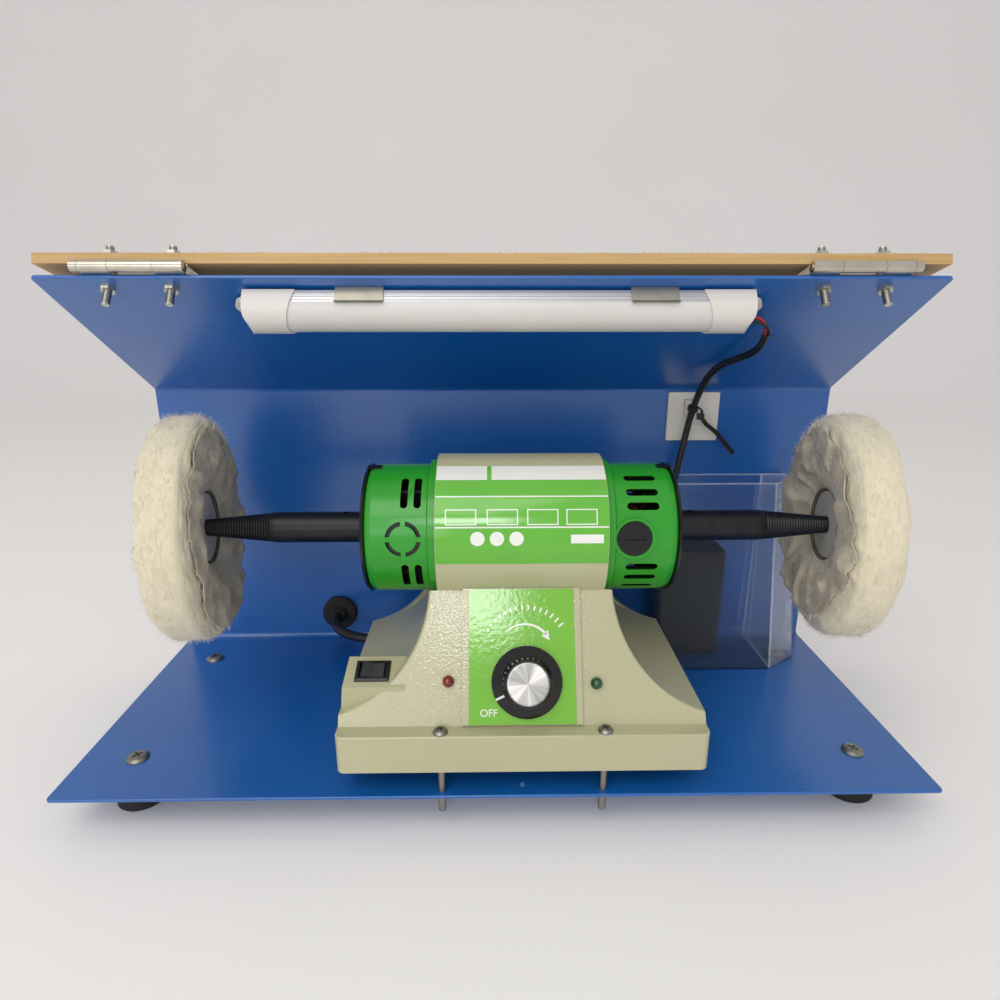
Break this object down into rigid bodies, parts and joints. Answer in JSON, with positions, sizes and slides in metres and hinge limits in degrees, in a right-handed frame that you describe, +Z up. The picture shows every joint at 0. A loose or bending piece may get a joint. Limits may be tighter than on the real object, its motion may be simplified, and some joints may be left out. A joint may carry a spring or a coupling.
{
  "type": "bench polisher",
  "caption": "Bench polishing motor with taper spindles and cotton buffs on a cast pedestal, standing in a lit sheet metal hood with a hinged lid board.",
  "frame": {"origin": "on the bench, in the middle of the hood's width and depth", "axes": "+X along the motor shaft to the right seen from the front, +Y to the hood's back wall, +Z up"},
  "size_m": [0.48, 0.2909, 0.3069],
  "materials": {
    "blue_powder_coat": "glossy powder coat",
    "black_rubber": "matt",
    "zinc_steel": "zinc plated",
    "hinge_steel": "nickel plated",
    "pressed_board": "sawn edges, tan",
    "lamp_aluminium": "anodised",
    "opal_plastic": "opal",
    "white_plastic": "moulded",
    "cable_black": "smooth",
    "black_plastic": "moulded",
    "clear_plastic": "clear moulded plastic",
    "cream_paint": "hammered enamel",
    "tube_enamel": "smooth enamel",
    "cover_plastic": "moulded",
    "green_film": "printed film",
    "green_plastic": "moulded",
    "red_lens": "clear lens",
    "green_lens": "clear lens",
    "knob_black": "moulded",
    "knob_aluminium": "turned",
    "bare_steel": "ground",
    "copper": "enamelled wire and copper",
    "carbon": "pressed carbon",
    "fan_plastic": "moulded",
    "black_steel": "blackened steel",
    "cotton": "sewn cotton",
    "grey_disc": "pressed hide"
  },
  "bodies": {
    "stand": {"hood_shell": "blue_powder_coat", "hood_feet": "black_rubber", "pedestal_pads": "black_rubber", "wall_grommet": "black_rubber", "foot_screws": "zinc_steel", "hinge_flap_bolts": "zinc_steel", "pedestal_bolts": "zinc_steel", "lamp_clips": "zinc_steel", "lamp_clip_screws": "zinc_steel", "hinge_fixed_leaves": "hinge_steel", "hinge_pins": "hinge_steel", "lamp_housing": "lamp_aluminium", "lamp_diffuser": "opal_plastic", "lamp_end_caps": "white_plastic", "tie_mount": "white_plastic", "lamp_led_strip": "white_plastic", "lamp_cable": "cable_black", "cord_inner": "cable_black", "cord_free": "cable_black", "cord_coil": "cable_black", "cable_tie": "black_plastic", "adapter": "black_plastic", "end_rims": "black_plastic", "rocker_bezel": "black_plastic", "potentiometer": "black_plastic", "cord_plug": "black_plastic", "brush_caps": "black_plastic", "clear_box": "clear_plastic", "pedestal": "cream_paint", "motor_tube": "tube_enamel", "pedestal_bottom_cover": "cover_plastic", "control_panel": "green_film", "motor_label": "green_film", "end_cap_left": "green_plastic", "end_cap_right": "green_plastic", "red_indicator": "red_lens", "green_indicator": "green_lens", "bearing_outer_rings": "bare_steel", "stator_core": "bare_steel", "field_coils": "copper", "brush_holders": "copper", "carbon_brushes": "carbon"},
    "rotor": {"rotor_shaft": "bare_steel", "armature_core": "bare_steel", "armature_windings": "copper", "commutator": "copper", "cooling_fan": "fan_plastic", "bearing_inner_sets": "bare_steel", "spindle_left": "black_steel", "spindle_right": "black_steel", "buff_left": "cotton", "buff_right": "cotton", "buff_flanges": "grey_disc"},
    "speed_knob": {"knob": "knob_black", "knob_cap": "knob_aluminium", "pot_shaft": "bare_steel"},
    "switch_button": {"rocker_button": "black_plastic"},
    "lid": {"lid_board": "pressed_board", "hinge_lid_leaves": "hinge_steel", "hinge_lid_bolts": "zinc_steel"}
  },
  "joints": [
    {"name": "rotor_spin", "type": "hinge", "parent": "stand", "child": "rotor", "pos_m": [0.0128, -0.013, 0.1514], "axis": [1, 0, 0], "continuous": true},
    {"name": "knob_turn", "type": "hinge", "parent": "stand", "child": "speed_knob", "pos_m": [0.0152, -0.06994, 0.08244], "axis": [0, 0.891, -0.454], "range_deg": [0, 280]},
    {"name": "rocker_tilt", "type": "hinge", "parent": "stand", "child": "switch_button", "pos_m": [-0.0684, -0.0618, 0.08285], "axis": [0, -0.9272, -0.3746], "range_deg": [0, 20]},
    {"name": "lid_swing", "type": "hinge", "parent": "stand", "child": "lid", "pos_m": [0, -0.02146, 0.2957], "axis": [1, 0, 0], "range_deg": [0, 210]}
  ]
}
